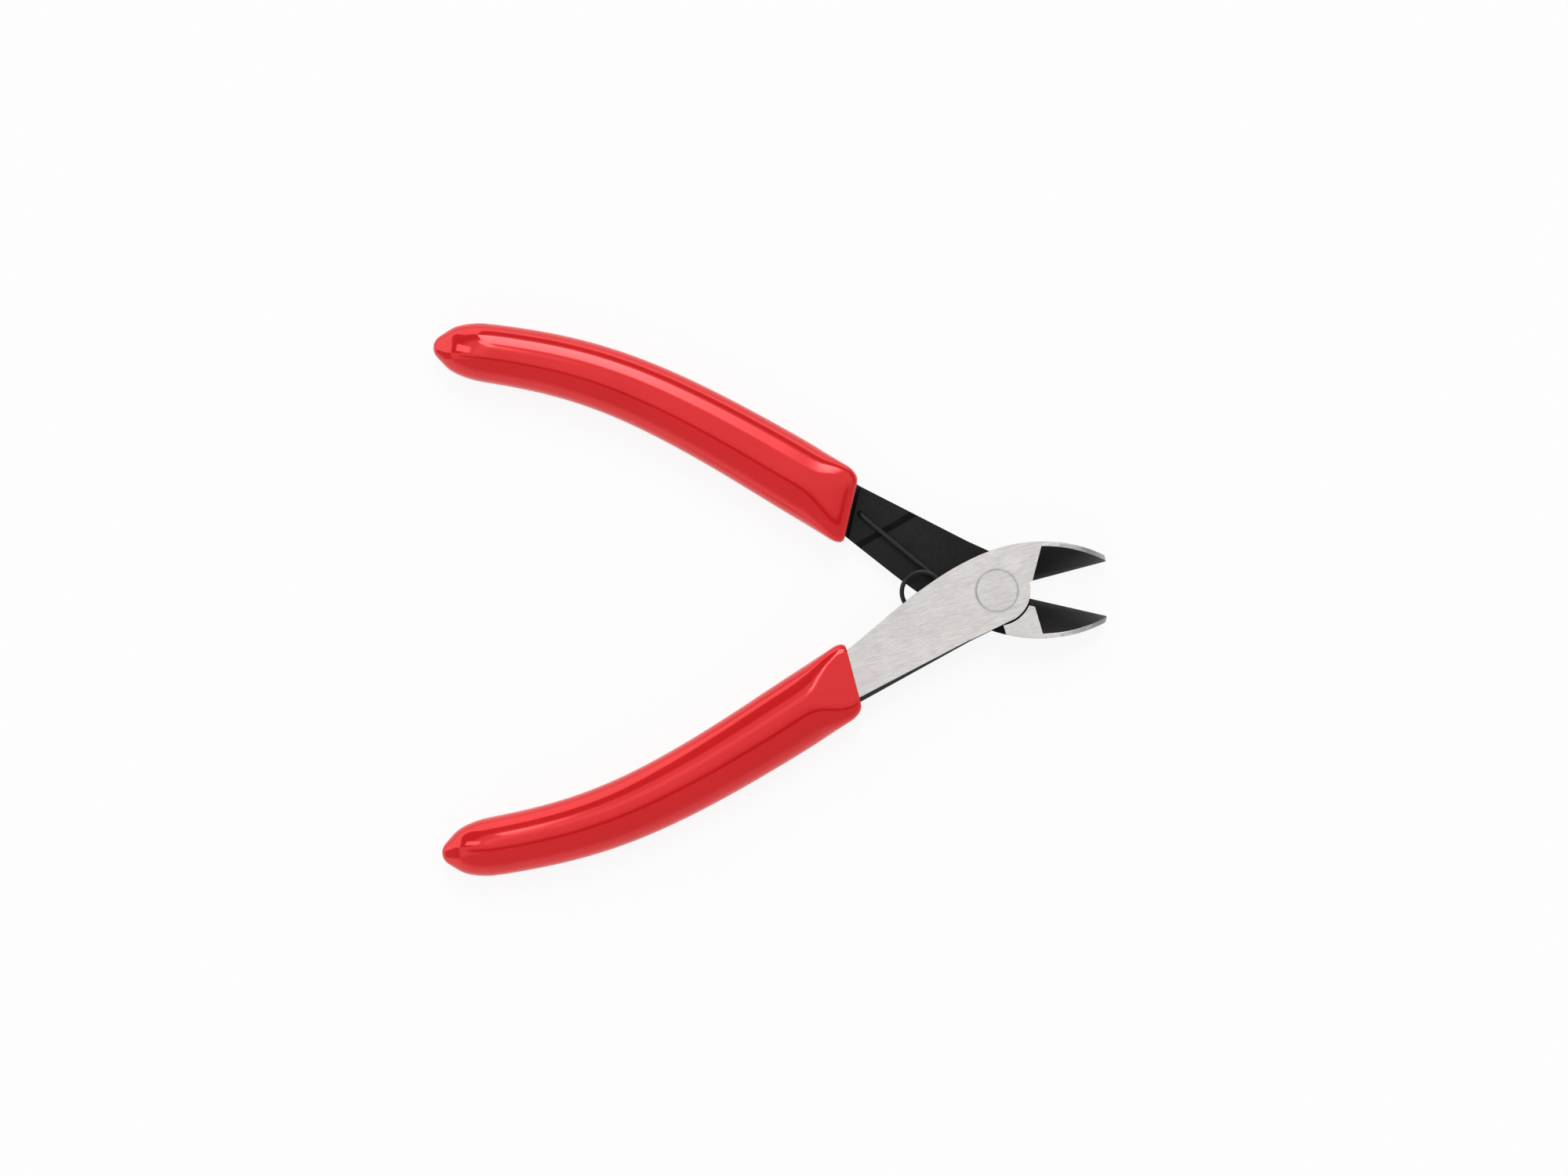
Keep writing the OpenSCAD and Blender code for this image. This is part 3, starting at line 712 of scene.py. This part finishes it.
def section_point(t, angle, lip=0.0, inset=0.0):
    """A point of the skin; lip rounds the mouth and inset goes towards the tang."""
    mid = middle(t)
    run = (mid - GRIP_A).length
    rolled = eased(run / ROLL_RUN)
    thick = MOUTH_T * (1 - THINNER * t)
    if math.sin(angle) < 0:
        foot = HALF_T + PLATE_SKIN
        tall, lip_up = foot + (thick - foot) * rolled, lip * LIP_PLATE
    else:
        near = max(0.0, 1 - run / ROLL_RUN)
        tall, lip_up = thick - ROLL_FALL * near ** 2, lip * LIP_OUTER
    share = end_share(t)
    wide = (MOUTH_HALF + (END_HALF - MOUTH_HALF) * t ** TAPER) * share - lip
    tall = tall * share - lip_up
    wide += (PLATE_HALF - wide) * inset
    tall += (min(tall, TANG_HALF_T + TANG_GAP) - tall) * inset
    out, down = rounded_box(angle, BOXY - ROUNDER * rolled ** ROUNDER_POWER)
    spot = mid + wide * out * sideways(t)
    return Vector((spot.x, spot.y, -tall * down))


def grip_width(t):
    return (section_point(t, 0) - section_point(t, math.pi)).length


print("grip width near its mouth and its end: %.1f and %.1f mm"
      % (grip_width(0.05), grip_width(0.85)))

# %% [markdown]
# ### The rings of the loft
# Each ring is given by its place on the line, by how much the lip takes off it, by how far it
# is drawn in to the tang, and by how deep it lies inside. The first four run from inside the
# mouth out to its rim, seven round the lip, sixty follow the handle, and the rest close the
# end ever more finely.

# %% Loft a grip
ROUND = 72
LIP_R = 1.6
GRIP_RUN = 84
LIP_RINGS, LONG_RINGS, END_RINGS = 7, 60, 22
LONG_FROM, LONG_TO = 0.016, 0.86
LAST_GAP = 0.0006
DEPTH_LEAN = 0.34


def stations():
    """(place on the line, lip, inset, depth) of each ring, in order from the mouth."""
    rings = [(0.0, LIP_R, 1.0, 2.5), (0.0, LIP_R, 1.0, 0.3),
             (0.0, LIP_R, 0.85, 0.06), (0.0, LIP_R, 0.4, 0.0)]
    for k in range(LIP_RINGS):
        a = math.radians(15 * k)
        rings.append((LIP_R * (1 - math.cos(a)) / GRIP_RUN, LIP_R * (1 - math.sin(a)), 0, 0))
    for k in range(1, LONG_RINGS + 1):
        rings.append((LONG_FROM + (LONG_TO - LONG_FROM) * (k / LONG_RINGS), 0, 0, 0))
    for k in range(1, END_RINGS + 1):
        left = END_RUN / GRIP_RUN * (1 - math.sin(math.radians(90 * k / END_RINGS)))
        rings.append((1 - max(LAST_GAP, left), 0, 0, 0))
    return rings


def grown_ring(bm, loop, old):
    """Extrudes the last loop and gives its new vertices in the order of the old places."""
    grown = bmesh.ops.extrude_edge_only(bm, edges=loop)["geom"]
    loop = [e for e in grown if isinstance(e, bmesh.types.BMEdge)]
    by_place = {}
    for v in grown:
        if isinstance(v, bmesh.types.BMVert):
            by_place[min(range(ROUND), key=lambda k: (v.co - old[k]).length)] = v
    return loop, [by_place[k] for k in range(ROUND)]


def grip(node, body, to_row, slot):
    bm = bmesh.new()
    ring = list(bmesh.ops.create_circle(bm, segments=ROUND, radius=1)["verts"])
    ring.sort(key=lambda v: math.atan2(v.co.y, v.co.x) % (2 * math.pi))
    loop = list(bm.edges)
    rings = stations()
    for number, (t, lip, inset, deep) in enumerate(rings):
        if number:
            loop, ring = grown_ring(bm, loop, old)
        for k, v in enumerate(ring):
            spot = section_point(t, 2 * math.pi * k / ROUND, lip, inset)
            v.co = spot - Vector((deep, deep * DEPTH_LEAN, 0))
        old = [v.co.copy() for v in ring]
    bmesh.ops.pointmerge(bm, verts=ring, merge_co=sum((v.co for v in ring), Vector()) / ROUND)
    bmesh.ops.transform(bm, matrix=to_row, verts=bm.verts)
    bmesh.ops.recalc_face_normals(bm, faces=bm.faces)
    print("%s: %d rings, %d faces" % (node, len(rings), len(bm.faces)))
    piece = as_piece(bm, node + "_skin", body, node, slot, vinyl_finish)
    piece.data.shade_smooth()
    return piece


front_grip = grip("front_lever_grip", "front_half", to_front, "dipped_vinyl")
rear_grip = grip("rear_lever_grip", "rear_half", to_rear, "dipped_vinyl")
print("grips:", front_grip.name, rear_grip.name)

# %% [markdown]
# ## The return spring
# One black wire: a leg lies over each lever and hooks into a small hole, and between them the
# wire makes a coil of one turn and a quarter. It was wound on a pin, so the legs leave the
# coil as tangents. The holes give the legs their angle, and with it the coil its turn.

# %% The way of the wire
WIRE_R = 0.425
COIL_R, COIL_AT = 3.7, 13.45
LEG_Z, WIRE_END, BEND_R = 0.875, 2.5, 0.7
BEND_STEPS, LEG_STEPS, COIL_STEPS = 8, 8, 90
hole = Vector((*HOLE, 0))
hole.rotate(Matrix.Rotation(math.radians(OPEN_HALF), 3, "Z"))
leg_run = Vector((hole.x + COIL_AT, hole.y))
leg_angle = math.atan2(-leg_run.y, -leg_run.x) - math.asin(COIL_R / leg_run.length)
leg_length = math.sqrt(leg_run.length ** 2 - COIL_R ** 2)
coil_turn = 3 * math.pi - 2 * leg_angle


def wire_way():
    """Points of the wire from the rear lever's hole to the front one's, in millimetres."""
    way = Vector((math.cos(leg_angle), -math.sin(leg_angle)))
    foot = Vector((hole.x, -hole.y))
    half = [Vector((foot.x, foot.y, -WIRE_END))]
    for k in range(BEND_STEPS + 1):
        e = math.radians(90 * (1 - k / BEND_STEPS))
        run, rise = BEND_R * (1 - math.sin(e)), -BEND_R * (1 - math.cos(e))
        half.append(Vector((*(foot + run * way), rise - LEG_Z)))
    for k in range(1, LEG_STEPS + 1):
        run = BEND_R + (leg_length - BEND_R) * k / LEG_STEPS
        half.append(Vector((*(foot + run * way), -LEG_Z)))
    coil = []
    for k in range(1, COIL_STEPS):
        share = k / COIL_STEPS
        a = -leg_angle - coil_turn * share + math.pi / 2
        coil.append(Vector((-COIL_AT + COIL_R * math.cos(a), COIL_R * math.sin(a),
                            LEG_Z * (2 * share - 1))))
    return half + coil + [Vector((p.x, -p.y, -p.z)) for p in reversed(half)]


points = wire_way()
print("wire length: %.1f mm" % sum((b - a).length for a, b in zip(points, points[1:])))

# %% [markdown]
# ### The wire as a piece
# A curve with a round bevel draws a wire best. It is made a mesh.

wire = bpy.data.curves.new("wire", "CURVE")
wire.dimensions = "3D"
wire.bevel_depth = WIRE_R * MM
wire.bevel_resolution = 4
wire.use_fill_caps = True
strand = wire.splines.new("POLY")
strand.points.add(len(points) - 1)
for spot, p in zip(strand.points, points):
    spot.co = (p.x * MM, p.y * MM, (p.z + HALF_T) * MM, 1)
wire_object = bpy.data.objects.new("wire", wire)
bpy.context.collection.objects.link(wire_object)
spring_mesh = bpy.data.meshes.new_from_object(wire_object.evaluated_get(
    bpy.context.evaluated_depsgraph_get()))
bpy.data.objects.remove(wire_object)
spring_mesh.name = "return_spring_wire"
spring_mesh.materials.clear()
spring_mesh.materials.append(spring_finish)
spring_mesh.shade_smooth()
spring = bpy.data.objects.new("return_spring_wire", spring_mesh)
bpy.context.collection.objects.link(spring)
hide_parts("return_spring")
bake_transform(spring)
print("spring: %d faces" % len(spring_mesh.polygons))

# %% [markdown]
# ## Last update
# The dressed model must fill the CAD model's box and no more.

# %% Update the scene
bpy.context.view_layer.update()
